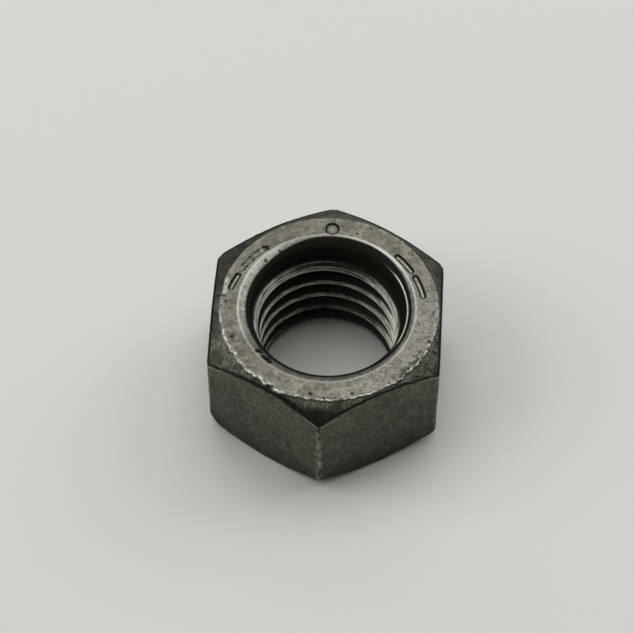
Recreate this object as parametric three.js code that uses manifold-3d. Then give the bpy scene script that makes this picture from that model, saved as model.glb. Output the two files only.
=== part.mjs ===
// Hex nut for a 5/8-11 UNC bolt, in millimetres, +Z up.
//
// The nut is a single piece of steel: a forged hexagon, chamfered on both ends, drilled, countersunk
// on both ends and tapped with a right-hand thread. It stands on its lower bearing face, with the
// origin at the centre of that face. Two of its corners point along Y and two of its flats face X.
// The upper end has the wider mouth: a shallow bevel, and below it a long steep cone that guides the
// bolt in and trims the first turns of the thread.

import * as THREE from 'three';
import { mergeVertices } from 'three/addons/utils/BufferGeometryUtils.js';
import Module from 'manifold-3d';

const INCH = 25.4;
const DEGREE = Math.PI / 180;

// Hexagon
const ACROSS_FLATS = 15 / 16 * INCH;
const HEIGHT = 13.6;
const CORNER_ROUNDING = 0.5;

// Chamfer cones that turn the hexagon's ends into round bearing faces
const TOP_FACE_DIAMETER = 22.66;
const TOP_CHAMFER_ANGLE = 33 * DEGREE;
const BOTTOM_FACE_DIAMETER = 22.8;
const BOTTOM_CHAMFER_ANGLE = 32 * DEGREE;

// Thread
const THREAD_DIAMETER = 5 / 8 * INCH;
const THREADS_PER_INCH = 11;
const PITCH = INCH / THREADS_PER_INCH;
const MINOR_DIAMETER = 14.1;
const FLANK_ANGLE = 30 * DEGREE;
const ROOT_FLAT = PITCH / 8;
const CREST_HEIGHT_AT_BACK = 10.3;

// Mouth of the bore at the top: a shallow bevel, then a steep cone down to the minor diameter
const BEVEL_DIAMETER = 18.4;
const BEVEL_INNER_DIAMETER = 16.3;
const BEVEL_DEPTH = 0.5;
const LEAD_IN_ANGLE = 73 * DEGREE;

// Mouth of the bore at the bottom: a plain countersink
const COUNTERSINK_DIAMETER = 16.2;
const COUNTERSINK_ANGLE = 45 * DEGREE;

// Stamped marks in the top face: two pairs of curved dashes about a third of a turn apart, with a
// plain round dot between them
const MARK_DEPTH = 0.2;
const DASH_WIDTH = 0.6;
const DASHES = [
  { radius: 9.95, from: 11 * DEGREE, to: 25 * DEGREE },
  { radius: 9.8, from: 31 * DEGREE, to: 44 * DEGREE },
  { radius: 9.95, from: 136 * DEGREE, to: 155 * DEGREE },
  { radius: 10.1, from: 160 * DEGREE, to: 170 * DEGREE },
];
const DOT_DIAMETER = 1.4;
const DOT_RADIUS_FROM_AXIS = 9.95;
const DOT_ANGLE = 90 * DEGREE;

// Facets
const SEGMENTS_PER_TURN = 48;
const CHAMFER_SEGMENTS = 96;
const CORNER_SEGMENTS = 4;
const MARK_SEGMENTS = 6;

// How far a cutter runs past the face that it leaves through
const OVERRUN = 1;

const wasm = await Module();
wasm.setup();

const flatRadius = ACROSS_FLATS / 2;
const cornerRadius = flatRadius / Math.cos(30 * DEGREE);
const minorRadius = MINOR_DIAMETER / 2;
const threadRadius = THREAD_DIAMETER / 2;

// A closed three.js geometry as a solid: shared vertices are merged, and triangles that collapse to
// a line, as at the pole of a turned shape, are dropped.
function solidFrom(geometry) {
  const bare = geometry.clone();
  bare.deleteAttribute('normal');
  bare.deleteAttribute('uv');
  const merged = mergeVertices(bare);
  const triangles = [];
  for (let i = 0; i < merged.index.count; i += 3) {
    const corners = [merged.index.getX(i), merged.index.getX(i + 1), merged.index.getX(i + 2)];
    if (new Set(corners).size === 3) triangles.push(...corners);
  }
  return new wasm.Manifold(new wasm.Mesh({
    numProp: 3,
    vertProperties: new Float32Array(merged.attributes.position.array),
    triVerts: new Uint32Array(triangles),
  }));
}

function geometryFrom(solid) {
  const mesh = solid.getMesh();
  const geometry = new THREE.BufferGeometry();
  geometry.setAttribute('position', new THREE.BufferAttribute(mesh.vertProperties, 3));
  geometry.setIndex(new THREE.BufferAttribute(mesh.triVerts, 1));
  geometry.computeVertexNormals();
  return geometry;
}

// A shape turned about the Z axis. The outline is [radius, height] pairs from the bottom of the axis
// to its top.
function turned(outline, segments) {
  const points = outline.map(([radius, height]) => new THREE.Vector2(radius, height));
  return solidFrom(new THREE.LatheGeometry(points, segments).rotateX(Math.PI / 2));
}

// The hexagonal bar, with its six upright corners rounded
function hexagonBar() {
  const shape = new THREE.Shape();
  const arcCentreRadius = cornerRadius - CORNER_ROUNDING / Math.cos(30 * DEGREE);
  for (let corner = 0; corner < 6; corner += 1) {
    const direction = (corner * 60 - 90) * DEGREE;
    const x = arcCentreRadius * Math.cos(direction);
    const y = arcCentreRadius * Math.sin(direction);
    shape.absarc(x, y, CORNER_ROUNDING, direction - 30 * DEGREE, direction + 30 * DEGREE, false);
  }
  return solidFrom(new THREE.ExtrudeGeometry(shape, {
    depth: HEIGHT,
    bevelEnabled: false,
    curveSegments: CORNER_SEGMENTS,
  }));
}

// The turned blank whose cones cut the chamfers. Its widest part clears the corners.
function chamferBlank() {
  const widest = cornerRadius + OVERRUN;
  const topDrop = (widest - TOP_FACE_DIAMETER / 2) * Math.tan(TOP_CHAMFER_ANGLE);
  const bottomRise = (widest - BOTTOM_FACE_DIAMETER / 2) * Math.tan(BOTTOM_CHAMFER_ANGLE);
  return turned([
    [0, 0],
    [BOTTOM_FACE_DIAMETER / 2, 0],
    [widest, bottomRise],
    [widest, HEIGHT - topDrop],
    [TOP_FACE_DIAMETER / 2, HEIGHT],
    [0, HEIGHT],
  ], CHAMFER_SEGMENTS);
}

// The drilled hole at the minor diameter, with the mouths of both ends
function drilledBore() {
  const bevelRadius = BEVEL_DIAMETER / 2;
  const bevelInnerRadius = BEVEL_INNER_DIAMETER / 2;
  const leadInDepth = BEVEL_DEPTH + (bevelInnerRadius - minorRadius) * Math.tan(LEAD_IN_ANGLE);
  const countersinkRadius = COUNTERSINK_DIAMETER / 2;
  const countersinkDepth = (countersinkRadius - minorRadius) * Math.tan(COUNTERSINK_ANGLE);
  return turned([
    [0, -OVERRUN],
    [countersinkRadius, -OVERRUN],
    [countersinkRadius, 0],
    [minorRadius, countersinkDepth],
    [minorRadius, HEIGHT - leadInDepth],
    [bevelInnerRadius, HEIGHT - BEVEL_DEPTH],
    [bevelRadius, HEIGHT],
    [bevelRadius, HEIGHT + OVERRUN],
    [0, HEIGHT + OVERRUN],
  ], SEGMENTS_PER_TURN);
}

// The line that the middle of the thread groove follows: a right-hand helix whose sweep frame stays
// radial, so the groove's section doesn't lean over.
class ThreadHelix extends THREE.Curve {
  constructor(radius, pitch, startAngle, startHeight, turns) {
    super();
    this.radius = radius;
    this.pitch = pitch;
    this.startAngle = startAngle;
    this.startHeight = startHeight;
    this.turns = turns;
  }

  angleAt(t) {
    return this.startAngle + 2 * Math.PI * this.turns * t;
  }

  getPoint(t, target = new THREE.Vector3()) {
    const angle = this.angleAt(t);
    const height = this.startHeight + this.pitch * this.turns * t;
    return target.set(this.radius * Math.cos(angle), this.radius * Math.sin(angle), height);
  }

  computeFrenetFrames(segments) {
    const tangents = [];
    const normals = [];
    const binormals = [];
    for (let i = 0; i <= segments; i += 1) {
      const angle = this.angleAt(i / segments);
      tangents.push(this.getTangent(i / segments));
      normals.push(new THREE.Vector3(Math.cos(angle), Math.sin(angle), 0));
      binormals.push(new THREE.Vector3(0, 0, -1));
    }
    return { tangents, normals, binormals };
  }
}

// What the tap cuts away: a trapezoid with 60 degrees between its flanks, swept along the helix from
// below the nut to above it. Its flanks start an inset inside the drilled hole, on a straight heel.
function tappedGroove() {
  const inset = 0.1;
  const heel = 0.4;
  const depth = threadRadius - minorRadius;
  const rootHalf = ROOT_FLAT / 2;
  const mouthHalf = rootHalf + (depth + inset) * Math.tan(FLANK_ANGLE);
  const section = new THREE.Shape([
    new THREE.Vector2(-heel, -mouthHalf),
    new THREE.Vector2(-inset, -mouthHalf),
    new THREE.Vector2(depth, -rootHalf),
    new THREE.Vector2(depth, rootHalf),
    new THREE.Vector2(-inset, mouthHalf),
    new THREE.Vector2(-heel, mouthHalf),
  ]);
  const turns = Math.ceil(HEIGHT / PITCH) + 2;
  const grooveHeightAtBack = CREST_HEIGHT_AT_BACK + PITCH / 2;
  const turnsBelow = Math.ceil(grooveHeightAtBack / PITCH) + 1;
  const startHeight = grooveHeightAtBack - turnsBelow * PITCH;
  const helix = new ThreadHelix(minorRadius, PITCH, 90 * DEGREE, startHeight, turns);
  return solidFrom(new THREE.ExtrudeGeometry(section, {
    steps: SEGMENTS_PER_TURN * turns,
    extrudePath: helix,
    bevelEnabled: false,
  }));
}

// A stamp that cuts MARK_DEPTH into the top face
function stamp(shape) {
  const geometry = new THREE.ExtrudeGeometry(shape, {
    depth: MARK_DEPTH + OVERRUN,
    bevelEnabled: false,
    curveSegments: MARK_SEGMENTS,
  });
  return solidFrom(geometry.translate(0, 0, HEIGHT - MARK_DEPTH));
}

// A dash that follows a circle about the nut's axis and has round ends
function dashStamp({ radius, from, to }) {
  const half = DASH_WIDTH / 2;
  const halfTurn = Math.PI;
  const shape = new THREE.Shape();
  shape.absarc(0, 0, radius + half, from, to, false);
  shape.absarc(radius * Math.cos(to), radius * Math.sin(to), half, to, to + halfTurn, false);
  shape.absarc(0, 0, radius - half, to, from, true);
  shape.absarc(radius * Math.cos(from), radius * Math.sin(from), half, from + halfTurn, from, false);
  return stamp(shape);
}

function dotStamp() {
  const x = DOT_RADIUS_FROM_AXIS * Math.cos(DOT_ANGLE);
  const y = DOT_RADIUS_FROM_AXIS * Math.sin(DOT_ANGLE);
  return stamp(new THREE.Shape().absarc(x, y, DOT_DIAMETER / 2, 0, 2 * Math.PI, false));
}

function nutBody() {
  let body = hexagonBar().intersect(chamferBlank());
  body = body.subtract(drilledBore().add(tappedGroove()));
  for (const dash of DASHES) {
    body = body.subtract(dashStamp(dash));
  }
  body = body.subtract(dotStamp());
  const steel = new THREE.MeshStandardMaterial({ color: 0x6a6a64, roughness: 0.45, metalness: 0.9 });
  const mesh = new THREE.Mesh(geometryFrom(body), steel);
  mesh.name = 'nut_body';
  return mesh;
}

const nut = new THREE.Group();
nut.add(nutBody());

export default nut;
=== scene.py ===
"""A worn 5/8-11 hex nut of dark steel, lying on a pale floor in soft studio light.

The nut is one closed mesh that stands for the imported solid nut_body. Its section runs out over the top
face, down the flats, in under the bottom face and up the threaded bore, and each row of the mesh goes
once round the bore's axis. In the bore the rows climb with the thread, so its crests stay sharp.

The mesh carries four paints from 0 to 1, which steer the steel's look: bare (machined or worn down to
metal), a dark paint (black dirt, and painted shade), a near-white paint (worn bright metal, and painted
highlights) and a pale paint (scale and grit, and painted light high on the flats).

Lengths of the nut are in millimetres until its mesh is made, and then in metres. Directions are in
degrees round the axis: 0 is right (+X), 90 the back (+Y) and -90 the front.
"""

import math

import bpy
import numpy as np
from mathutils import Matrix, Vector, noise


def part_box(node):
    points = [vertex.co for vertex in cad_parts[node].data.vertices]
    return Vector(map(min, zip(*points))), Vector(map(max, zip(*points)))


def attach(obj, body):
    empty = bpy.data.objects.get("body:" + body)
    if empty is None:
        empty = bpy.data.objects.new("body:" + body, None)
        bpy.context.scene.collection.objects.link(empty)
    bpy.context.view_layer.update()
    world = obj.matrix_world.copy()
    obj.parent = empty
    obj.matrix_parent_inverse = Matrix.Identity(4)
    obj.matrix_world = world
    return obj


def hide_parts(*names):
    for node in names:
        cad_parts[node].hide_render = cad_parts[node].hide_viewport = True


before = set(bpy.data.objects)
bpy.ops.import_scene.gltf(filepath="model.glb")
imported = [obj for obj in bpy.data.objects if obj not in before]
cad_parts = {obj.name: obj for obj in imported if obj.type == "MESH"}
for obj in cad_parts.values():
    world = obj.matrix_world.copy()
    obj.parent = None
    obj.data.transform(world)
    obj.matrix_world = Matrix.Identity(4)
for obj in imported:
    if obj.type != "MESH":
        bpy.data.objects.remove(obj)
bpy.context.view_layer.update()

MM = 0.001
lowest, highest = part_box("nut_body")

# Hexagon
HEIGHT = (highest.z - lowest.z) / MM
FLAT_RADIUS = highest.x / MM
# Rounding of the upright corners, counter-clockwise from the front one: those at the back are rounder
CORNER_ROUNDINGS = (0.5, 0.5, 1.25, 0.9, 1.35, 0.5)

# Round bearing faces and the chamfer cones around them
TOP_FACE_RADIUS = 11.33
TOP_FACE_SHIFT = 0.2
TOP_CHAMFER_SLOPE = math.tan(math.radians(33))
BOTTOM_FACE_RADIUS = 11.4
BOTTOM_CHAMFER_SLOPE = math.tan(math.radians(32))

# Thread: the height of a crest's middle is known at the back, where the angle is 90 degrees
PITCH = 25.4 / 11
MINOR_RADIUS = 7.05
MAJOR_RADIUS = 15.875 / 2
FLANK_SLOPE = math.tan(math.radians(30))
CREST_HALF_WIDTH = 0.46
CREST_HEIGHT_AT_BACK = 10.3

# Mouth of the bore at the top: a convex bevel, then a long steep cone. The bore is a little to the
# right of the hexagon's centre, and a thin ledge is left on its right side where the bevel ends.
BORE_SHIFT = 0.1
BEVEL_RADIUS = 9.2
BEVEL_INNER_RADIUS = 8.15
BEVEL_DEPTH = 0.5
BEVEL_START = 0.4
LEAD_IN_SLOPE = math.tan(math.radians(75))
MOUTH_ROUNDING = 0.15
LEDGE_ANGLE = 4.0
LEDGE_HALF_TURN = 46.0
LEDGE_WIDTH = 0.14

# Mouth of the bore at the bottom: a plain countersink
COUNTERSINK_RADIUS = 8.1
COUNTERSINK_SLOPE = math.tan(math.radians(45))
COUNTERSINK_EDGE = 0.06

# Fine grooves that run along the crests: (height above the crest's middle, depth)
CREST_SEAMS = [(-0.13, 0.12), (0.2, 0.1)]
SEAM_WIDTH = 0.065

# The crests are worn bare and carry painted highlight between these heights. On the right the upper
# limit is lower.
LAND_TOP = 12.2
LAND_DROP_AT_RIGHT = 1.0
LAND_BOTTOM = 1.1

# Stamped marks: (start angle, start radius, end angle, end radius) of each dash's middle line
CRISP_DASHES = [
    (11.0, 10.03, 25.2, 9.90),
    (30.6, 9.85, 44.0, 9.72),
    (160.3, 10.03, 169.8, 10.2),
]
WORN_DASH = (136.0, 9.85, 155.0, 10.05)
DASH_HALF_WIDTH = 0.28
WORN_HALF_WIDTH = 0.34
DOT_ANGLE = 90.0
DOT_DISTANCE = 9.95
DOT_RADIUS = 0.7
MARK_DEPTH = 0.2
WORN_DEPTH = 0.1
MARK_WALL = 0.12

# Width of the painted shade, a black line, along the wall of each kind of mark
DASH_LINE = 0.17
WORN_LINE = 0.16
DOT_LINE = 0.19

# Pits in the top face: (angle, distance from the axis, radius, depth)
PITS = [
    (-116.4, 11.12, 0.18, 0.14),
    (-95.8, 10.66, 0.18, 0.14),
    (-84.4, 10.62, 0.1, 0.1),
    (-73.0, 10.8, 0.16, 0.1),
    (-155.9, 10.36, 0.17, 0.14),
    (179.5, 10.43, 0.16, 0.14),
    (168.0, 10.85, 0.1, 0.08),
    (-139.5, 8.8, 0.3, 0.2),
    (-137.3, 8.66, 0.2, 0.18),
    (-133.6, 8.84, 0.3, 0.2),
    (-130.8, 8.78, 0.36, 0.24),
    (-127.8, 8.84, 0.3, 0.2),
    (-118.0, 11.3, 0.24, 0.2),
    (-88.5, 11.0, 0.09, 0.14),
    (-88.0, 11.2, 0.1, 0.16),
    (128.4, 8.66, 0.15, 0.1),
    (141.0, 8.72, 0.17, 0.12),
    (74.7, 9.89, 0.11, 0.05),
    (133.4, 9.6, 0.17, 0.16),
    (132.9, 9.85, 0.18, 0.18),
    (134.2, 10.05, 0.17, 0.16),
]

# Directions of the wear, the darker paint and the painted highlights on the top face and its chamfer
WORN_SIDE = -95
FRONT_CORNER = -92
RAGGED_SIDE = -135
RIM_HOLES_AT = -22
GRIT_AT = -25
CRUSTY_CORNERS = (-145, -30)
BACK_LEFT = 138
FLAKE_AT = 169.5

# The lower left corner is knocked in where the flats end
KNOCKED_CORNER = -150
KNOCK_HALF_TURN = 2.8
KNOCK_HEIGHT = 0.95

# Mesh density. A half-arc is half of a rounded corner. The crest's rows lie within its reach above and
# below its middle, and rows that come closer than the merge distance to an end of the bore stop there.
BORE_COLUMNS = 264
OUTER_COLUMNS = 2 * BORE_COLUMNS
SECTOR_COLUMNS = OUTER_COLUMNS // 6
HALF_ARC_COLUMNS = 4
ROWS_PER_PITCH = 30
CREST_ROWS = 20
CREST_REACH = 0.56
MERGE_DISTANCE = 0.02


def smoothstep(start, end, value):
    """0 at the start, rising smoothly to 1 at the end. The end may be lower than the start."""
    t = np.clip((value - start) / (end - start), 0, 1)
    return t * t * (3 - 2 * t)


def hump(distance, width):
    """1 where distance is 0, falling to nearly 0 at twice the width."""
    return np.exp(-(distance / width) ** 2)


def lower_of(a, b, blend):
    """The lower of two values, with the crease between them rounded over the blend distance."""
    h = np.clip(0.5 + 0.5 * (b - a) / blend, 0, 1)
    return b + (a - b) * h - blend * h * (1 - h)


def higher_of(a, b, blend):
    """The higher of two values, with the crease between them rounded."""
    return -lower_of(-a, -b, blend)


def rough(x, y, z, size, seed, octaves=3):
    """Fractal noise from about -1 to 1, with lumps about size millimetres across."""
    x, y, z = np.broadcast_arrays(x, y, z)
    shift = Vector((seed * 17.3, seed * 5.1, seed * 9.7))
    points = np.stack([x, y, z], -1).reshape(-1, 3) / size
    values = [noise.fractal(Vector(p) + shift, 1.0, 2.0, octaves) for p in points]
    return np.array(values).reshape(x.shape)


def angle_between(a, b):
    """The signed turn from angle b to angle a, in degrees."""
    return (a - b + 180) % 360 - 180


def turn_from(direction, angle):
    """The signed turn in degrees from a direction to an angle in radians."""
    return angle_between(np.degrees(angle), direction)


def near(direction, width, angle):
    """A hump round a direction."""
    return hump(turn_from(direction, angle), width)


def within(direction, inside, outside, angle):
    """1 up to inside degrees from a direction, falling to 0 at outside degrees from it."""
    return smoothstep(outside, inside, np.abs(turn_from(direction, angle)))


# ---------------------------------------------------------------- plan outline of the hexagon

def hexagon_outline():
    """Points and outward normals of the outline, counter-clockwise from the front corner."""
    flat_columns = SECTOR_COLUMNS - 2 * HALF_ARC_COLUMNS
    points, normals = [], []

    def on_arc(corner, turn):
        rounding = CORNER_ROUNDINGS[corner % 6]
        middle = math.radians(60 * corner - 90)
        normal = np.array([math.cos(middle + turn), math.sin(middle + turn)])
        arc_centre = (FLAT_RADIUS - rounding) / math.cos(math.radians(30))
        centre = arc_centre * np.array([math.cos(middle), math.sin(middle)])
        return centre + rounding * normal, normal

    for corner in range(6):
        for column in range(SECTOR_COLUMNS):
            if column < HALF_ARC_COLUMNS:
                point, normal = on_arc(corner, math.radians(30) * column / HALF_ARC_COLUMNS)
            elif column > SECTOR_COLUMNS - HALF_ARC_COLUMNS:
                left = SECTOR_COLUMNS - column
                point, normal = on_arc(corner + 1, -math.radians(30) * left / HALF_ARC_COLUMNS)
            else:
                start, normal = on_arc(corner, math.radians(30))
                end, _ = on_arc(corner + 1, -math.radians(30))
                point = start + (end - start) * (column - HALF_ARC_COLUMNS) / flat_columns
            points.append(point)
            normals.append(normal)
    return np.array(points), np.array(normals)


outline, outline_normals = hexagon_outline()
outline_radius = np.hypot(outline[:, 0], outline[:, 1])
outline_angle = np.unwrap(np.arctan2(outline[:, 1], outline[:, 0]))
even_angle = -math.pi / 2 + np.arange(OUTER_COLUMNS) * 2 * math.pi / OUTER_COLUMNS


def column_angles(radius):
    """Columns are evenly spaced near the bore and gather at the hexagon's corners further out."""
    share = smoothstep(BEVEL_RADIUS + 0.2, BOTTOM_FACE_RADIUS, radius)
    return even_angle + (outline_angle - even_angle) * share


def plan(radius, angle):
    """X and Y of a point of the bore, the bevel or the faces."""
    shift = BORE_SHIFT * (1 - smoothstep(BEVEL_INNER_RADIUS, BEVEL_RADIUS, radius))
    return radius * np.cos(angle) + shift, radius * np.sin(angle)


# ---------------------------------------------------------------- shape of the top

def dash_distance(x, y, dash):
    """Distance from the middle line of a dash."""
    start_angle, start_radius, end_angle, end_radius = dash
    middle = (start_angle + end_angle) / 2
    half_turn = (end_angle - start_angle) / 2
    turn = np.clip(angle_between(np.degrees(np.arctan2(y, x)), middle), -half_turn, half_turn)
    share = (turn + half_turn) / (2 * half_turn)
    radius = start_radius + (end_radius - start_radius) * share
    direction = np.radians(middle + turn)
    return np.hypot(x - radius * np.cos(direction), y - radius * np.sin(direction))


def spot_distance(x, y, angle, radius):
    """Distance from a spot of the top, in plan."""
    direction = math.radians(angle)
    return np.hypot(x - radius * math.cos(direction), y - radius * math.sin(direction))


def stamped(distance, half_width, depth, line):
    """Height change, painted shade and painted highlights of a flat-bottomed stamp, by distance from its
    middle. The line is the width of the painted shade along its wall; the highlights are on its lip and
    floor."""
    inside = 1 - smoothstep(half_width - MARK_WALL, half_width, distance)
    lip = hump(distance - half_width - 0.08, 0.08)
    # Painted shade along the wall, and painted highlight on the lip and the floor
    wall = 1.2 * smoothstep(line, 0.3 * line, np.abs(distance - half_width + 0.02))
    floor = hump(distance, half_width * 0.45)
    return 0.018 * lip - depth * inside, wall, np.maximum(lip, floor)


def worn_stamp(x, y):
    """The smeared dash: its edges wander, its wall's painted shade is patchy, and its floor is smudged with
    a weaker painted highlight.
    """
    smear = rough(x, y, 0, 0.5, 3)
    distance = dash_distance(x, y, WORN_DASH) + 0.15 * smear
    change, wall, glint = stamped(distance, WORN_HALF_WIDTH, WORN_DEPTH, WORN_LINE)
    wall = wall * (0.35 + 1.4 * smear).clip(0, 1)
    smudge = 0.35 * smoothstep(WORN_HALF_WIDTH, 0.5 * WORN_HALF_WIDTH, distance)
    smudge = smudge * (0.8 + 0.9 * smear).clip(0, 1.5)
    return change, np.maximum(wall, smudge), 0.5 * glint


def marks(x, y):
    """Height change, painted shade with the smeared dash's smudge, and painted highlights of all the
    stamped marks.
    """
    stamps = []
    for dash in CRISP_DASHES:
        stamps.append(stamped(dash_distance(x, y, dash), DASH_HALF_WIDTH, MARK_DEPTH, DASH_LINE))
    dot_distance = spot_distance(x, y, DOT_ANGLE, DOT_DISTANCE)
    stamps.append(stamped(dot_distance, DOT_RADIUS, MARK_DEPTH, DOT_LINE))
    stamps.append(worn_stamp(x, y))
    changes, shade_and_smudges, glints = zip(*stamps)
    return np.sum(changes, axis=0), np.max(shade_and_smudges, axis=0), np.max(glints, axis=0)


def pits(x, y):
    """Height change and dark oxide of the pits."""
    height = np.zeros_like(x)
    soil = np.zeros_like(x)
    ragged = 0.3 * rough(x, y, 0, 0.22, 5)
    for angle, distance, radius, depth in PITS:
        away = spot_distance(x, y, angle, distance) / radius + ragged
        height -= depth * (1 - smoothstep(0.35, 1.1, away))
        soil = np.maximum(soil, 1 - smoothstep(0.6, 1.3, away))
    return height, soil


def near_side(angle):
    """1 along the worn front of the top face, 0 at the back."""
    return within(WORN_SIDE, 55, 100, angle)


def face_edge(angle):
    """Radius of the top face's ragged outer edge. It bulges left of the front, and is nicked at the
    flake."""
    x, y = 11 * np.cos(angle), 11 * np.sin(angle)
    chipped = 0.12 * near_side(angle) * (0.5 + within(-125, 10, 45, angle))
    radius = TOP_FACE_RADIUS + TOP_FACE_SHIFT * np.cos(angle)
    radius += 0.12 * near(-112, 14, angle)
    radius -= 0.16 * near(172, 5, angle)
    radius += (0.02 + chipped) * rough(x, y, 0, 0.9, 7)
    radius += (0.01 + chipped + 0.1 * near(-28, 30, angle)) * rough(x, y, 0, 0.32, 8)
    return radius


def bevel_height(radius):
    """Height of the convex bevel, which is nearly flat at its outer edge and runs on above it."""
    share = (BEVEL_RADIUS - radius) / (BEVEL_RADIUS - BEVEL_INNER_RADIUS)
    drop = BEVEL_START * share + (1 - BEVEL_START) * np.clip(share, 0, None) ** 2
    return HEIGHT - BEVEL_DEPTH * drop


def ledge(radius, angle):
    """1 on the thin ledge at the bevel's inner edge, 0 elsewhere."""
    share = within(LEDGE_ANGLE, LEDGE_HALF_TURN - 20, LEDGE_HALF_TURN, angle)
    outer = BEVEL_INNER_RADIUS + LEDGE_WIDTH * share
    return share * smoothstep(outer + 0.06, outer, radius)


def chamfer_groove(x, y, radius, angle, edge):
    """1 in the dark line where the top chamfer meets the flats, which is widest left of the front."""
    flat_directions = np.radians(np.arange(6) * 60)
    from_flat = FLAT_RADIUS - np.max([x * np.cos(n) + y * np.sin(n) for n in flat_directions], axis=0)
    width = 0.12 + 0.16 * near(-107, 22, angle)
    return hump(from_flat - width - 0.04, width) * smoothstep(edge, edge + 0.3, radius)


def plain_top(x, y, radius, angle, edge, lumps):
    """Height of the face, chamfer, bevel and ledge, with the lip round the face."""
    face = HEIGHT - 0.012 + 0.012 * rough(x, y, 0, 2.5, 1) + 0.007 * rough(x, y, 0, 0.35, 2)
    chamfer = HEIGHT - 0.02 - (radius - edge) * TOP_CHAMFER_SLOPE
    chamfer += 0.035 * lumps * (1 - 0.7 * near(FRONT_CORNER, 15, angle))
    height = lower_of(face, chamfer, 0.05)
    height = lower_of(height, bevel_height(radius), 0.03)
    height += (HEIGHT - BEVEL_DEPTH + 0.01 - height) * ledge(radius, angle)
    lip = (0.015 + 0.045 * near_side(angle)) * (0.7 + 0.6 * rough(x, y, 0, 0.8, 12))
    return height + lip * hump(radius - edge + 0.07, 0.08)


def bevel_painted_shade(radius, angle):
    """Painted shade on the bevel, inside a line that is close to its outer edge at the back, about half-way
    on the right, and close to its inner edge elsewhere. The ledge has none."""
    back = within(75, 15, 70, angle)
    right = within(0, 35, 60, angle) * (1 - back)
    shade_edge = BEVEL_INNER_RADIUS + 0.36 + 0.48 * back + 0.2 * right
    return smoothstep(shade_edge + 0.07, shade_edge - 0.07, radius) * (1 - ledge(radius, angle))


def chamfer_darkening(radius, angle, edge, on_face):
    """Darker paint on the front corner, in a crack under the burr, on the back and beside the flake."""
    front = 0.95 * near(FRONT_CORNER, 15, angle) * smoothstep(edge + 0.2, edge + 1.1, radius)
    crack = 0.9 * hump(radius - edge - 0.15, 0.06) * within(-85, 40, 75, angle)
    back = (0.5 + 0.3 * near(BACK_LEFT, 22, angle)) * (1 - near_side(angle)) * (1 - on_face)
    flake_crack = hump(turn_from(FLAKE_AT, angle) - 6.5, 0.7)
    flake_crack = 0.9 * flake_crack * smoothstep(edge - 0.55, edge - 0.45, radius)
    return np.maximum.reduce([front, crack, back, flake_crack])


def burr(radius, angle, edge, lumps):
    """Raised metal along the worn edge of the top face, widest and most broken at the left. It is worn
    bright and painted near-white as a highlight.
    """
    ragged = within(RAGGED_SIDE, 10, 45, angle)
    line = hump(radius - edge + 0.05 + 0.04 * ragged, 0.08 + 0.09 * ragged)
    line *= 0.15 + 0.85 * near_side(angle)
    return line * (0.35 + 0.35 * ragged + 1.7 * lumps).clip(0, 1)


def bevel_painted_highlight(x, y, radius, angle):
    """Painted highlight: a bright line along the bevel's outer edge, and speckled brightness over its left
    side.
    """
    left = within(165, 30, 60, angle)
    right = within(15, 40, 75, angle)
    line = 0.2 + 0.22 * left + 0.1 * right + 0.35 * near(50, 22, angle)
    line *= hump(radius - BEVEL_RADIUS + 0.03, 0.12)
    speckle = left * (0.08 + 0.3 * rough(x, y, 0, 0.3, 17)).clip(0, 1)
    speckle = speckle + 0.02 + 0.14 * near(BACK_LEFT, 22, angle)
    return np.maximum(line, speckle * smoothstep(BEVEL_RADIUS, BEVEL_RADIUS - 0.12, radius))


def top_crust(x, y, radius, angle, edge):
    """Pale scale on the chamfers, most at the sides and under the face's edge, and grit on the face."""
    at_corners = np.max([near(corner, 28, angle) for corner in CRUSTY_CORNERS], axis=0)
    scale = rough(x, y, 0, 1.3, 14) + 0.4 * rough(x, y, 0, 0.35, 15)
    scale = scale + 0.35 * at_corners + 0.3 * smoothstep(edge + 1.0, edge + 0.1, radius)
    grit = 0.15 + 0.75 * within(GRIT_AT, 35, 75, angle)
    return np.where(radius < edge, grit, smoothstep(-0.05, 0.55, scale))


def top_surface(radius, angle):
    """Height and paint of the top at plan radius and angle, from the bevel out to the flats."""
    x = radius * np.cos(angle)
    y = radius * np.sin(angle)
    edge = face_edge(angle)
    lumps = rough(x, y, 0, 0.55, 11)
    on_face = 1 - smoothstep(edge - 0.03, edge + 0.09, radius + 0.05 * lumps)
    groove = chamfer_groove(x, y, radius, angle, edge)
    mark_height, mark_shade_and_smudge, mark_painted_highlights = marks(x, y)
    pit_height, pit_soil = pits(x, y)
    rim_holes = near(RIM_HOLES_AT, 38, angle) * smoothstep(edge - 1.3, edge - 0.2, radius)
    rim_holes *= smoothstep(0.1, 0.4, rough(x, y, 0, 0.4, 18))
    # Painted shade on the face at the lower left and at the upper left
    face_painted_shade = 0.12 * on_face * (near(-142, 25, angle) + near(122, 25, angle))
    flake = within(FLAKE_AT, 4, 7, angle) * smoothstep(edge - 0.5, edge - 0.38, radius) * on_face

    height = plain_top(x, y, radius, angle, edge, lumps)
    height += mark_height + pit_height - 0.08 * groove - 0.04 * rim_holes * on_face
    # Dark paint: painted shade on the marks' walls, the face's left and the bevel; dirt in pits and holes;
    # the dark groove line and the chamfer's darker places
    soil = [
        mark_shade_and_smudge,
        pit_soil,
        1.25 * groove,
        0.8 * rim_holes,
        face_painted_shade,
        bevel_painted_shade(radius, angle),
        chamfer_darkening(radius, angle, edge, on_face),
    ]
    # Near-white paint: the burr and ledge are worn metal painted as highlights; the bevel's line and
    # speckle and the marks' lips and floors are painted highlights; the flake is worn bright
    rubbed = [
        0.85 * burr(radius, angle, edge, lumps),
        bevel_painted_highlight(x, y, radius, angle),
        0.5 * ledge(radius, angle),
        0.18 * mark_painted_highlights,
        0.3 * flake,
    ]
    paint = {
        "bare": on_face,
        "soil": np.maximum.reduce(soil),
        "rubbed": np.maximum.reduce(rubbed),
        "crust": top_crust(x, y, radius, angle, edge),
    }
    return height, paint


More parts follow.
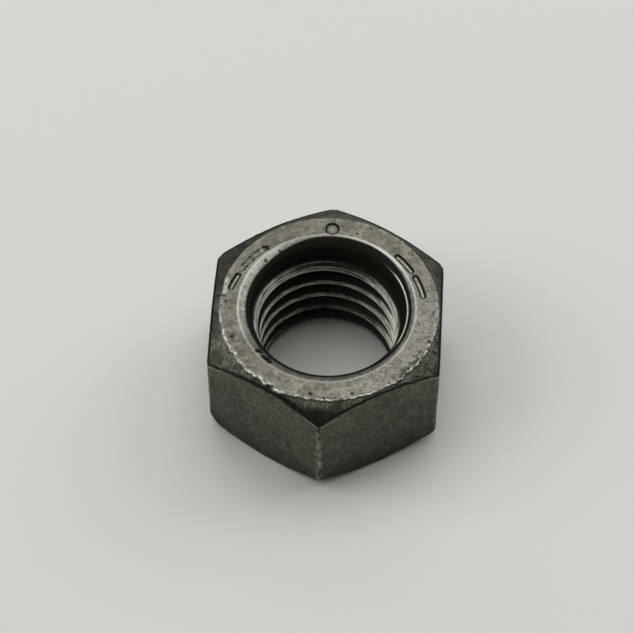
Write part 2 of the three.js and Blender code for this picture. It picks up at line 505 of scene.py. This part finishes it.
# ---------------------------------------------------------------- shape of the bore

def crest_turn(z, angle):
    """Height above the nearest crest's middle, and the crest's place along the helix in turns."""
    climb = CREST_HEIGHT_AT_BACK + PITCH * (angle - math.pi / 2) / (2 * math.pi)
    turns = np.round((z - climb) / PITCH)
    return z - climb - turns * PITCH, turns + angle / (2 * math.pi)


def thread_wall(from_crest, lengthwise, fine):
    """Radius of the thread alone, and 1 in the fine grooves along its crests."""
    radius = MINOR_RADIUS + (np.abs(from_crest) - CREST_HALF_WIDTH) / FLANK_SLOPE
    radius = lower_of(radius, MAJOR_RADIUS, 0.06)
    radius = higher_of(radius, MINOR_RADIUS, np.where(from_crest > 0, 0.16, 0.03))
    seams = np.zeros_like(radius)
    for middle, depth in CREST_SEAMS:
        seam = hump(from_crest - middle - 0.04 * lengthwise, SEAM_WIDTH)
        radius += depth * (1 + 0.6 * lengthwise) * seam
        seams = np.maximum(seams, seam)
    return radius + 0.015 * fine, seams


def mouth_cones(z):
    """Radius of the steep cone under the bevel, with its rounded lip, or of the countersink."""
    below_bevel = HEIGHT - BEVEL_DEPTH - z
    top_cone = BEVEL_INNER_RADIUS - below_bevel / LEAD_IN_SLOPE
    top_cone -= MOUTH_ROUNDING * (1 - np.exp(-below_bevel.clip(0, None) / MOUTH_ROUNDING))
    return np.maximum(top_cone, COUNTERSINK_RADIUS - z / COUNTERSINK_SLOPE)


def crest_wear_and_highlight(z, angle, from_crest, past_cone):
    """1 on the band of each crest that is worn bare and carries painted highlight. It starts at the crest's
    lower edge and reaches furthest up at the sides and on the right, where the highlight is painted, and
    over all of the crest where the cone has trimmed it."""
    on_thread = smoothstep(-0.04, 0.04, past_cone)
    sideways = np.cos(angle) ** 2
    rightward = np.cos(angle).clip(0, None)
    band_top = (0.3 + 0.2 * sideways + 0.2 * rightward) * on_thread + 1.2 * (1 - on_thread)
    band = smoothstep(-0.5, -0.45, from_crest)
    band *= smoothstep(band_top + 0.08, band_top - 0.12, from_crest)
    land_top = LAND_TOP - LAND_DROP_AT_RIGHT * rightward
    return band * smoothstep(land_top, land_top - 0.5, z) * smoothstep(LAND_BOTTOM, LAND_BOTTOM + 0.7, z)


def bore_surface(z, angle):
    """Radius and paint of the bore's wall."""
    from_crest, along = crest_turn(z, angle)
    lengthwise = rough(along * 30, from_crest * 2.5, 0, 1.0, 21)
    fine = rough(along * 140, from_crest * 6, 0, 1.0, 22)
    thread, seams = thread_wall(from_crest, lengthwise, fine)
    cone = mouth_cones(z)
    wavy_cone = cone + 0.02 * lengthwise * smoothstep(HEIGHT - BEVEL_DEPTH, HEIGHT - 1.2, z)

    # The bare band fades towards the crest's upper edge except at the sides, where it is kept as painted
    # highlight, and at the front and back it fades low in the bore as painted shade.
    sideways = np.cos(angle) ** 2
    rightward = np.cos(angle).clip(0, None)
    band = crest_wear_and_highlight(z, angle, from_crest, thread - cone)
    bare = band * (1 - 0.9 * smoothstep(-0.15, 0.45, from_crest) * (1 - 0.85 * sideways))
    bare *= (0.9 + 0.5 * lengthwise).clip(0, 1) * (1 - 0.9 * seams)
    bare *= 1 - 0.6 * smoothstep(7.0, 2.0, z) * (1 - sideways)

    # A painted highlight on the edge where the cone trims the thread, on the left
    trimmed_edge_highlight = hump(thread - cone, 0.06) * smoothstep(0.1, 0.5, from_crest)
    trimmed_edge_highlight *= smoothstep(LAND_TOP, LAND_TOP - 0.4, z) * (0.35 - 0.6 * np.cos(angle)).clip(0, 0.9)
    bare = np.maximum(bare, trimmed_edge_highlight)

    # Painted highlight: the band is brightest at the sides and on the right
    shine = (0.3 + 0.7 * sideways) * (1.1 + 0.4 * rightward + 0.7 * lengthwise + 0.6 * fine)
    paint = {
        "bare": bare,
        # Dark off the bare band and in the seams: dirt, and painted shade in the grooves; a little lighter
        # low in the bore
        "soil": (1 - smoothstep(0, 0.6, bare)) * (1 - 0.25 * smoothstep(9.0, 3.0, z)),
        "rubbed": band * shine.clip(0.05, 1),
    }
    return higher_of(thread, wavy_cone, 0.03), paint


# ---------------------------------------------------------------- the closed mesh

# Paints: bare metal; dark for dirt and painted shade; near-white for worn metal and painted highlights;
# pale for scale, grit and painted light high on the flats
PAINTS = ("bare", "soil", "rubbed", "crust")


class Skin:
    """Collects vertices with their paint, and the faces between rows of them."""

    def __init__(self):
        self.points = []
        self.paint = {name: [] for name in PAINTS}
        self.faces = []

    def add(self, x, y, z, paint):
        """Adds vertices, with 0 for paint that isn't given, and returns their indices in their shape."""
        x, y, z = np.broadcast_arrays(x, y, z)
        first = len(self.points)
        self.points.extend(np.stack([x, y, z], -1).reshape(-1, 3))
        for name in PAINTS:
            self.paint[name].extend(np.broadcast_to(paint.get(name, 0.0), x.shape).reshape(-1))
        return first + np.arange(x.size).reshape(x.shape)

    def join(self, inner, outer):
        """Faces between two rows of as many columns."""
        inner_next = np.roll(inner, -1)
        outer_next = np.roll(outer, -1)
        self.faces.extend(zip(inner, outer, outer_next, inner_next))

    def join_coarse(self, coarse, fine, coarse_first):
        """Faces between a row and one with twice as many columns."""
        after = np.roll(coarse, -1)
        middle = fine[1::2]
        last = np.roll(fine, -2)[::2]
        triangles = [(coarse, fine[::2], middle), (coarse, middle, after), (after, middle, last)]
        for a, b, c in triangles:
            self.faces.extend(zip(a, b, c) if coarse_first else zip(a, c, b))

    def join_all(self, rows):
        for inner, outer in zip(rows[:-1], rows[1:]):
            self.join(inner, outer)


def chamfer_shares(rows):
    """Shares of the way over a chamfer, closer together towards the hexagon's flats."""
    even = np.arange(1, rows + 1) / rows
    return 1 - (1 - even) ** 1.35


def top_rows(skin):
    """The bevel, the face and the top chamfer. Rows are closer at the bevel's and the face's edges."""
    ledge_edge = BEVEL_INNER_RADIUS + LEDGE_WIDTH
    radii = np.concatenate([
        [BEVEL_INNER_RADIUS + 0.03, ledge_edge, ledge_edge + 0.06],
        np.linspace(ledge_edge + 0.13, BEVEL_RADIUS - 0.1, 9),
        np.linspace(BEVEL_RADIUS - 0.04, BEVEL_RADIUS + 0.14, 4),
        np.linspace(BEVEL_RADIUS + 0.23, 10.37, 15),
        np.linspace(10.45, 10.98, 6),
        np.linspace(11.04, 11.74, 13),
    ])
    rows = []
    for radius in radii:
        angle = column_angles(radius)
        height, paint = top_surface(np.full(OUTER_COLUMNS, radius), angle)
        rows.append(skin.add(*plan(radius, angle), height, paint))
    for share in chamfer_shares(11):
        radius = radii[-1] + (outline_radius - radii[-1]) * share
        height, paint = top_surface(radius, outline_angle)
        inset = 0.03 * smoothstep(0.97, 1.0, share)
        x = radius * np.cos(outline_angle) - inset * outline_normals[:, 0]
        y = radius * np.sin(outline_angle) - inset * outline_normals[:, 1]
        rows.append(skin.add(x, y, height, paint))
    return rows


def flat_paint(x, y, z, share, from_corner):
    """Paint of one row of the flats, which is a share of the way down them."""
    # Painted highlight along the upright corners, strongest at the front one, and at the tops of the
    # corners
    corner_painted_highlight = 0.3 + 0.7 * near(-90, 20, outline_angle)
    corner_painted_highlight *= hump(from_corner, 1.2) * (0.6 + 1.1 * rough(x, y, z, 0.5, 34)).clip(0, 1)
    tip_painted_highlight = hump(share, 0.02) * hump(from_corner, 7)
    knocks = 0.9 * hump(from_corner, 2.4) * smoothstep(0.05, 0.3, rough(x, y, z, 0.55, 35))
    # Painted shade, darker towards the bottom of the flats
    lower_painted_shade = 0.55 * smoothstep(0.7, 1.0, share + 0.1 * rough(x, y, z, 1.5, 37))
    # Painted light, lighter towards the top of the flats, which shows as pale scuffs
    crust = 0.6 * (1 - share) ** 1.5 * (0.65 + rough(x, y, z, 2.5, 36))
    return {
        "rubbed": np.maximum(corner_painted_highlight, tip_painted_highlight),
        "soil": np.maximum(knocks, lower_painted_shade),
        "crust": crust.clip(0, 1),
    }


def flat_rows(skin, top_heights):
    """The six flats with their upright corners, from just under the top chamfer."""
    bottom_heights = (outline_radius - BOTTOM_FACE_RADIUS) * BOTTOM_CHAMFER_SLOPE
    bottom_heights += KNOCK_HEIGHT * near(KNOCKED_CORNER, KNOCK_HALF_TURN, outline_angle)
    shares = np.concatenate([[0.008, 0.022, 0.045], np.linspace(0.08, 0.94, 22), [0.965, 0.985, 1.0]])
    past_corner = turn_from(-90, outline_angle) % 60
    from_corner = np.minimum(past_corner, 60 - past_corner)
    rows = []
    for share in shares:
        z = top_heights + (bottom_heights - top_heights) * share
        x, y = outline.T
        outward = 0.03 * rough(x, y, z, 5.0, 31) + 0.02 * rough(x, y, z, 0.9, 32)
        outward -= 0.06 * hump(from_corner, 1.2) * (1 + rough(x, y, z * 0.6, 0.7, 33))
        outward -= 0.03 * (1 - smoothstep(0.0, 0.03, min(share, 1 - share)))
        paint = flat_paint(x, y, z, share, from_corner)
        x, y = outline.T + outward * outline_normals.T
        rows.append(skin.add(x, y, z, paint))
    return rows


def bottom_rows(skin):
    """The bottom chamfer with the outer columns, then the bearing face with the bore's."""
    outer = []
    for share in (0.25, 0.5, 0.75, 0.95):
        radius = outline_radius + (BOTTOM_FACE_RADIUS + 0.05 - outline_radius) * share
        x = radius * np.cos(outline_angle)
        y = radius * np.sin(outline_angle)
        height = (radius - BOTTOM_FACE_RADIUS) * BOTTOM_CHAMFER_SLOPE + 0.02 * rough(x, y, 0, 0.6, 41)
        outer.append(skin.add(x, y, height.clip(0.01, None), {}))
    inner = []
    for radius in np.concatenate([[11.15, 11.0], np.linspace(10.6, 8.4, 8), [8.22, 8.15]]):
        x, y = plan(radius, column_angles(radius)[::2])
        wear = 0.006 * (1 + rough(x, y, 0, 1.2, 42)) + 0.02 * hump(radius - COUNTERSINK_RADIUS, 0.08)
        inner.append(skin.add(x, y, wear, {"bare": 0.9}))
    return outer, inner


def row_offsets():
    """Heights of one pitch's rows above its crest's middle, closer together on the crest."""
    crest = np.linspace(-CREST_REACH, CREST_REACH, CREST_ROWS, endpoint=False)
    groove = np.linspace(CREST_REACH, PITCH - CREST_REACH, ROWS_PER_PITCH - CREST_ROWS, endpoint=False)
    return np.concatenate([crest, groove])


def bore_rows(skin):
    """The bore's wall, from the countersink's edge to the bevel. Its rows climb with the thread, and
    where they would pass an end of the bore they are cut off there. Returns the bottom and top row."""
    low, high = COUNTERSINK_EDGE, HEIGHT - BEVEL_DEPTH
    angle = even_angle[::2]
    climb = PITCH * (angle - math.pi / 2) / (2 * math.pi)
    lowest_turn = -math.ceil((CREST_HEIGHT_AT_BACK - low) / PITCH) - 2
    highest_turn = math.ceil((high - CREST_HEIGHT_AT_BACK) / PITCH) + 2
    turns = np.arange(lowest_turn, highest_turn)
    crest_heights = CREST_HEIGHT_AT_BACK + PITCH * turns
    z = (crest_heights[:, None] + row_offsets()[None, :]).reshape(-1, 1) + climb[None, :]

    ends = []
    for height in (low, high):
        radius, paint = bore_surface(np.full(BORE_COLUMNS, height), angle)
        ends.append(skin.add(*plan(radius, angle), height, paint))

    below = z < low + MERGE_DISTANCE
    above = z > high - MERGE_DISTANCE
    free = ~below & ~above
    all_angles = np.broadcast_to(angle, z.shape)
    radius, paint = bore_surface(z[free], all_angles[free])
    index = np.where(below, ends[0][None, :], ends[1][None, :])
    index[free] = skin.add(*plan(radius, all_angles[free]), z[free], paint)

    # One column further round, the same thread row is a pitch lower in the first column's count
    wrapped = np.concatenate([index[ROWS_PER_PITCH:, 0], np.full(ROWS_PER_PITCH, ends[1][0])])
    following = np.concatenate([index[:, 1:], wrapped[:, None]], axis=1)
    for row in range(len(z) - 1):
        corners = zip(index[row], index[row + 1], following[row + 1], following[row])
        for face in corners:
            kept = tuple(dict.fromkeys(face))
            if len(kept) > 2:
                skin.faces.append(kept)
    return ends


def nut_mesh():
    """The nut's closed mesh in metres, with its paint."""
    skin = Skin()
    bore_bottom, bore_top = bore_rows(skin)
    top = top_rows(skin)
    top_heights = np.array([skin.points[i][2] for i in top[-1]])
    flats = flat_rows(skin, top_heights)
    chamfer, underside = bottom_rows(skin)
    skin.join_coarse(bore_top, top[0], coarse_first=True)
    skin.join_all(top + flats + chamfer)
    skin.join_coarse(underside[0], chamfer[-1], coarse_first=False)
    skin.join_all(underside + [bore_bottom])

    mesh = bpy.data.meshes.new("nut_surface")
    points = np.array(skin.points) * MM
    mesh.from_pydata(points.tolist(), [], [tuple(int(i) for i in face) for face in skin.faces])
    for name in PAINTS:
        attribute = mesh.attributes.new(name, "FLOAT", "POINT")
        attribute.data.foreach_set("value", np.clip(skin.paint[name], 0, 1).astype(np.float32))
    mesh.polygons.foreach_set("use_smooth", [True] * len(mesh.polygons))
    mesh.validate()
    mesh.update()
    return mesh


# ---------------------------------------------------------------- materials

# Linear colours of bare steel and of its oxide, each with a near-white for worn places and painted
# highlights, and the black of dirt and painted shade
BARE_DARK = (0.078, 0.073, 0.059, 1)
BARE_LIGHT = (0.27, 0.257, 0.218, 1)
BARE_PATCH = (0.12, 0.11, 0.09, 1)
BARE_GRIT = (0.3, 0.29, 0.26, 1)
BARE_WEAR_AND_HIGHLIGHT = (0.91, 0.9, 0.84, 1)
OXIDE_DARK = (0.018, 0.019, 0.0145, 1)
OXIDE_LIGHT = (0.145, 0.144, 0.116, 1)
OXIDE_PATCH = (0.045, 0.045, 0.034, 1)
OXIDE_GRAIN = (0.016, 0.016, 0.012, 1)
OXIDE_SPECK = (0.13, 0.128, 0.105, 1)
OXIDE_SCUFF = (0.25, 0.24, 0.2, 1)
OXIDE_WEAR_AND_HIGHLIGHT = (0.36, 0.35, 0.3, 1)
DIRT_AND_SHADE = (0.009, 0.009, 0.0065, 1)
FLOOR_COLOUR = (0.716, 0.727, 0.702, 1)

# The steel's noise is a little longer along Z than across it
NOISE_SCALE = (1, 1, 0.75)


class Shader:
    """Small helper that adds nodes to one material and links them."""

    def __init__(self, name):
        self.material = bpy.data.materials.new(name)
        self.material.use_nodes = True
        self.nodes = self.material.node_tree.nodes
        self.links = self.material.node_tree.links
        self.bsdf = self.nodes["Principled BSDF"]

    def set(self, node, socket, value):
        if isinstance(value, bpy.types.NodeSocket):
            self.links.new(value, node.inputs[socket])
        else:
            node.inputs[socket].default_value = value

    def node(self, kind, inputs=None, **settings):
        node = self.nodes.new(kind)
        for name, value in settings.items():
            setattr(node, name, value)
        for socket, value in (inputs or {}).items():
            self.set(node, socket, value)
        return node

    def noise(self, coordinates, size, detail=3.0, roughness=0.6):
        """Noise with lumps about size millimetres across."""
        inputs = {"Vector": coordinates, "Scale": 1 / (size * MM), "Detail": detail, "Roughness": roughness}
        return self.node("ShaderNodeTexNoise", inputs).outputs["Fac"]

    def attribute(self, name):
        return self.node("ShaderNodeAttribute", attribute_name=name).outputs["Fac"]

    def math(self, operation, a, b):
        return self.node("ShaderNodeMath", {0: a, 1: b}, operation=operation).outputs[0]

    def remap(self, value, low, high, to_low=0.0, to_high=1.0):
        inputs = {"Value": value, "From Min": low, "From Max": high, "To Min": to_low, "To Max": to_high}
        return self.node("ShaderNodeMapRange", inputs).outputs["Result"]

    def mix(self, share, a, b):
        node = self.node("ShaderNodeMix", data_type="RGBA")
        for socket, value in ((0, share), (6, a), (7, b)):
            self.set(node, socket, value)
        return node.outputs[2]

    def bump(self, height, distance, strength, normal=None):
        inputs = {"Height": height, "Distance": distance * MM, "Strength": strength}
        node = self.node("ShaderNodeBump", inputs)
        if normal is not None:
            self.set(node, "Normal", normal)
        return node.outputs["Normal"]


def bare_colour(shader, noises, rubbed, crust):
    """Mottled bare steel with darker patches, pale grit, and near-white worn places and painted highlights.
    """
    colour = shader.mix(shader.remap(noises["mottle"], 0.35, 0.65), BARE_DARK, BARE_LIGHT)
    colour = shader.mix(shader.remap(noises["patches"], 0.38, 0.66, 0.0, 0.5), colour, BARE_PATCH)
    grit = shader.math("MULTIPLY", crust, shader.remap(noises["grain"], 0.44, 0.66))
    colour = shader.mix(grit, colour, BARE_GRIT)
    return shader.mix(rubbed, colour, BARE_WEAR_AND_HIGHLIGHT)


def oxide_colour(shader, noises, rubbed, crust):
    """Mottled dark oxide with fine grain, pale specks, scuffs where it is crusted and where light is
    painted high on the flats, and near-white worn places and painted highlights.
    """
    colour = shader.mix(shader.remap(noises["mottle"], 0.35, 0.65), OXIDE_DARK, OXIDE_LIGHT)
    colour = shader.mix(shader.remap(noises["patches"], 0.35, 0.7, 0.0, 0.6), colour, OXIDE_PATCH)
    colour = shader.mix(shader.remap(noises["grain"], 0.4, 0.62, 0.0, 0.65), colour, OXIDE_GRAIN)
    colour = shader.mix(shader.remap(noises["specks"], 0.4, 0.62, 0.0, 0.3), colour, OXIDE_SPECK)
    scuffs = shader.math("MULTIPLY", crust, shader.remap(noises["specks"], 0.46, 0.6))
    colour = shader.mix(scuffs, colour, OXIDE_SCUFF)
    return shader.mix(rubbed, colour, OXIDE_WEAR_AND_HIGHLIGHT)


def steel():
    """Dark oxidised steel, bare where it is machined or worn, near-white at worn places and painted
    highlights, and black, less shiny and less metallic under dirt and painted shade.
    """
    shader = Shader("dark_steel")
    place = shader.node("ShaderNodeTexCoord").outputs["Object"]
    place = shader.node("ShaderNodeMapping", {"Vector": place, "Scale": NOISE_SCALE}).outputs["Vector"]
    bare, soil, rubbed, crust = (shader.attribute(name) for name in PAINTS)
    noises = {
        "grain": shader.noise(place, 0.3, detail=4.0, roughness=0.7),
        "mottle": shader.noise(place, 0.7, detail=4.0, roughness=0.72),
        "patches": shader.noise(place, 2.2, detail=3.0),
        "specks": shader.noise(place, 0.125, detail=2.0),
    }

    bare_metal = bare_colour(shader, noises, rubbed, crust)
    oxide = oxide_colour(shader, noises, rubbed, crust)
    broken = shader.math("ADD", bare, shader.remap(noises["specks"], 0.3, 0.7, -0.2, 0.2))
    bare_share = shader.remap(broken, 0.35, 0.65)
    colour = shader.mix(bare_share, oxide, bare_metal)
    # Black where there is dirt and where shade is painted
    shader.set(shader.bsdf, "Base Color", shader.mix(soil, colour, DIRT_AND_SHADE))

    undarkened = shader.remap(soil, 0.0, 1.0, 1.0, 0.1)
    metallic = shader.math("MULTIPLY", shader.remap(bare_share, 0.0, 1.0, 0.45, 1.0), undarkened)
    metallic = shader.math("MULTIPLY", metallic, shader.remap(rubbed, 0.0, 1.0, 1.0, 0.15))
    shader.set(shader.bsdf, "Metallic", metallic)
    roughness = shader.remap(shader.math("MULTIPLY", bare_share, undarkened), 0.0, 1.0, 0.54, 0.38)
    roughness = shader.math("ADD", roughness, shader.remap(noises["grain"], 0.3, 0.7, -0.06, 0.08))
    shader.set(shader.bsdf, "Roughness", roughness)
    shader.set(shader.bsdf, "Specular IOR Level", shader.remap(soil, 0.0, 1.0, 0.25, 0.06))

    normal = shader.bump(noises["patches"], 0.1, 0.6)
    normal = shader.bump(noises["mottle"], 0.07, 0.8, normal)
    normal = shader.bump(noises["grain"], 0.04, 1.0, normal)
    shader.set(shader.bsdf, "Normal", normal)
    return shader.material


def floor_paint():
    shader = Shader("floor_paint")
    shader.set(shader.bsdf, "Base Color", FLOOR_COLOUR)
    shader.set(shader.bsdf, "Roughness", 0.75)
    return shader.material


# ---------------------------------------------------------------- objects, from here on in metres

FLOOR_HALF_WIDTH = 2.0

LIGHT_COLOUR = (0.965, 1.0, 1.0)

# The sky is brightest in one direction, high behind the nut, and fades away from it: the strength goes
# from low to high as the direction's dot product with it does
SKY_COLOUR = (1.0, 0.92, 0.81, 1)
SKY_BRIGHTEST_AT = (0, 0.75, 0.66)
SKY_FADE = {"From Min": -0.2, "From Max": 0.9, "To Min": 0.2, "To Max": 0.3}

# The camera looks down at the nut, nearly along +Y, from far enough for a long lens
CAMERA_TURN = -3.353
CAMERA_DIP = 56.044
CAMERA_ROLL = 0.152
CAMERA_LENS = 133.1
CAMERA_DISTANCE = 0.2477
CAMERA_AIM = Vector((0, 0, 0.00595))
CAMERA_ASIDE = -0.00101
CAMERA_ABOVE = 0.00325


def link(name, data):
    obj = bpy.data.objects.new(name, data)
    bpy.context.scene.collection.objects.link(obj)
    return obj


def add_nut():
    nut = link("nut_surface", nut_mesh())
    nut.data.materials.append(steel())
    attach(nut, "root")
    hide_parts("nut_body")


def add_floor():
    half = FLOOR_HALF_WIDTH
    corners = [(-half, -half, 0), (half, -half, 0), (half, half, 0), (-half, half, 0)]
    mesh = bpy.data.meshes.new("floor")
    mesh.from_pydata(corners, [], [(0, 1, 2, 3)])
    floor = link("floor", mesh)
    floor.data.materials.append(floor_paint())


def facing(forward, right):
    """A rotation that looks along forward, with right to the right."""
    up = right.cross(forward)
    return Matrix((right, up, -forward)).transposed()


def add_softbox(name, azimuth, elevation, distance, width, height, power):
    """A rectangular light that faces the nut. Azimuth 0 is behind it, at +Y, and 90 at +X."""
    turn, rise = math.radians(azimuth), math.radians(elevation)
    towards = Vector((math.sin(turn) * math.cos(rise), math.cos(turn) * math.cos(rise), math.sin(rise)))
    data = bpy.data.lights.new(name, "AREA")
    data.shape = "RECTANGLE"
    data.size = width
    data.size_y = height
    data.energy = power
    data.color = LIGHT_COLOUR
    light = link(name, data)
    right = Vector((math.cos(turn), -math.sin(turn), 0))
    light.matrix_world = Matrix.Translation(towards * distance) @ facing(-towards, -right).to_4x4()


def add_lights():
    add_softbox("key_softbox", azimuth=-5, elevation=74, distance=0.62, width=0.5, height=0.4, power=1.38)
    add_softbox("back_softbox", azimuth=5, elevation=32, distance=0.62, width=0.9, height=0.3, power=0.4)
    add_softbox("left_softbox", azimuth=-98, elevation=42, distance=0.6, width=0.4, height=0.4, power=1.18)
    add_softbox("right_softbox", azimuth=60, elevation=36, distance=0.6, width=0.3, height=0.4, power=0.8)


def add_sky():
    world = bpy.data.worlds.new("studio")
    world.use_nodes = True
    nodes, links = world.node_tree.nodes, world.node_tree.links
    background = nodes["Background"]
    background.inputs["Color"].default_value = SKY_COLOUR
    direction = nodes.new("ShaderNodeTexCoord").outputs["Generated"]
    closeness = nodes.new("ShaderNodeVectorMath")
    closeness.operation = "DOT_PRODUCT"
    closeness.inputs[1].default_value = SKY_BRIGHTEST_AT
    links.new(direction, closeness.inputs[0])
    fade = nodes.new("ShaderNodeMapRange")
    for socket, value in SKY_FADE.items():
        fade.inputs[socket].default_value = value
    links.new(closeness.outputs["Value"], fade.inputs["Value"])
    links.new(fade.outputs["Result"], background.inputs["Strength"])
    bpy.context.scene.world = world


def add_camera():
    turn, dip, roll = (math.radians(a) for a in (CAMERA_TURN, CAMERA_DIP, CAMERA_ROLL))
    forward = Vector((math.sin(turn) * math.cos(dip), math.cos(turn) * math.cos(dip), -math.sin(dip)))
    level = Vector((math.cos(turn), -math.sin(turn), 0))
    right = Matrix.Rotation(-roll, 3, forward) @ level
    up = right.cross(forward)
    data = bpy.data.cameras.new("camera")
    data.lens = CAMERA_LENS
    data.sensor_width = 36
    data.clip_start = 0.01
    camera = link("camera", data)
    place = CAMERA_AIM + right * CAMERA_ASIDE + up * CAMERA_ABOVE - forward * CAMERA_DISTANCE
    camera.matrix_world = Matrix.Translation(place) @ facing(forward, right).to_4x4()
    bpy.context.scene.camera = camera


add_nut()
add_floor()
add_lights()
add_sky()
add_camera()
bpy.context.scene.view_settings.view_transform = "Standard"
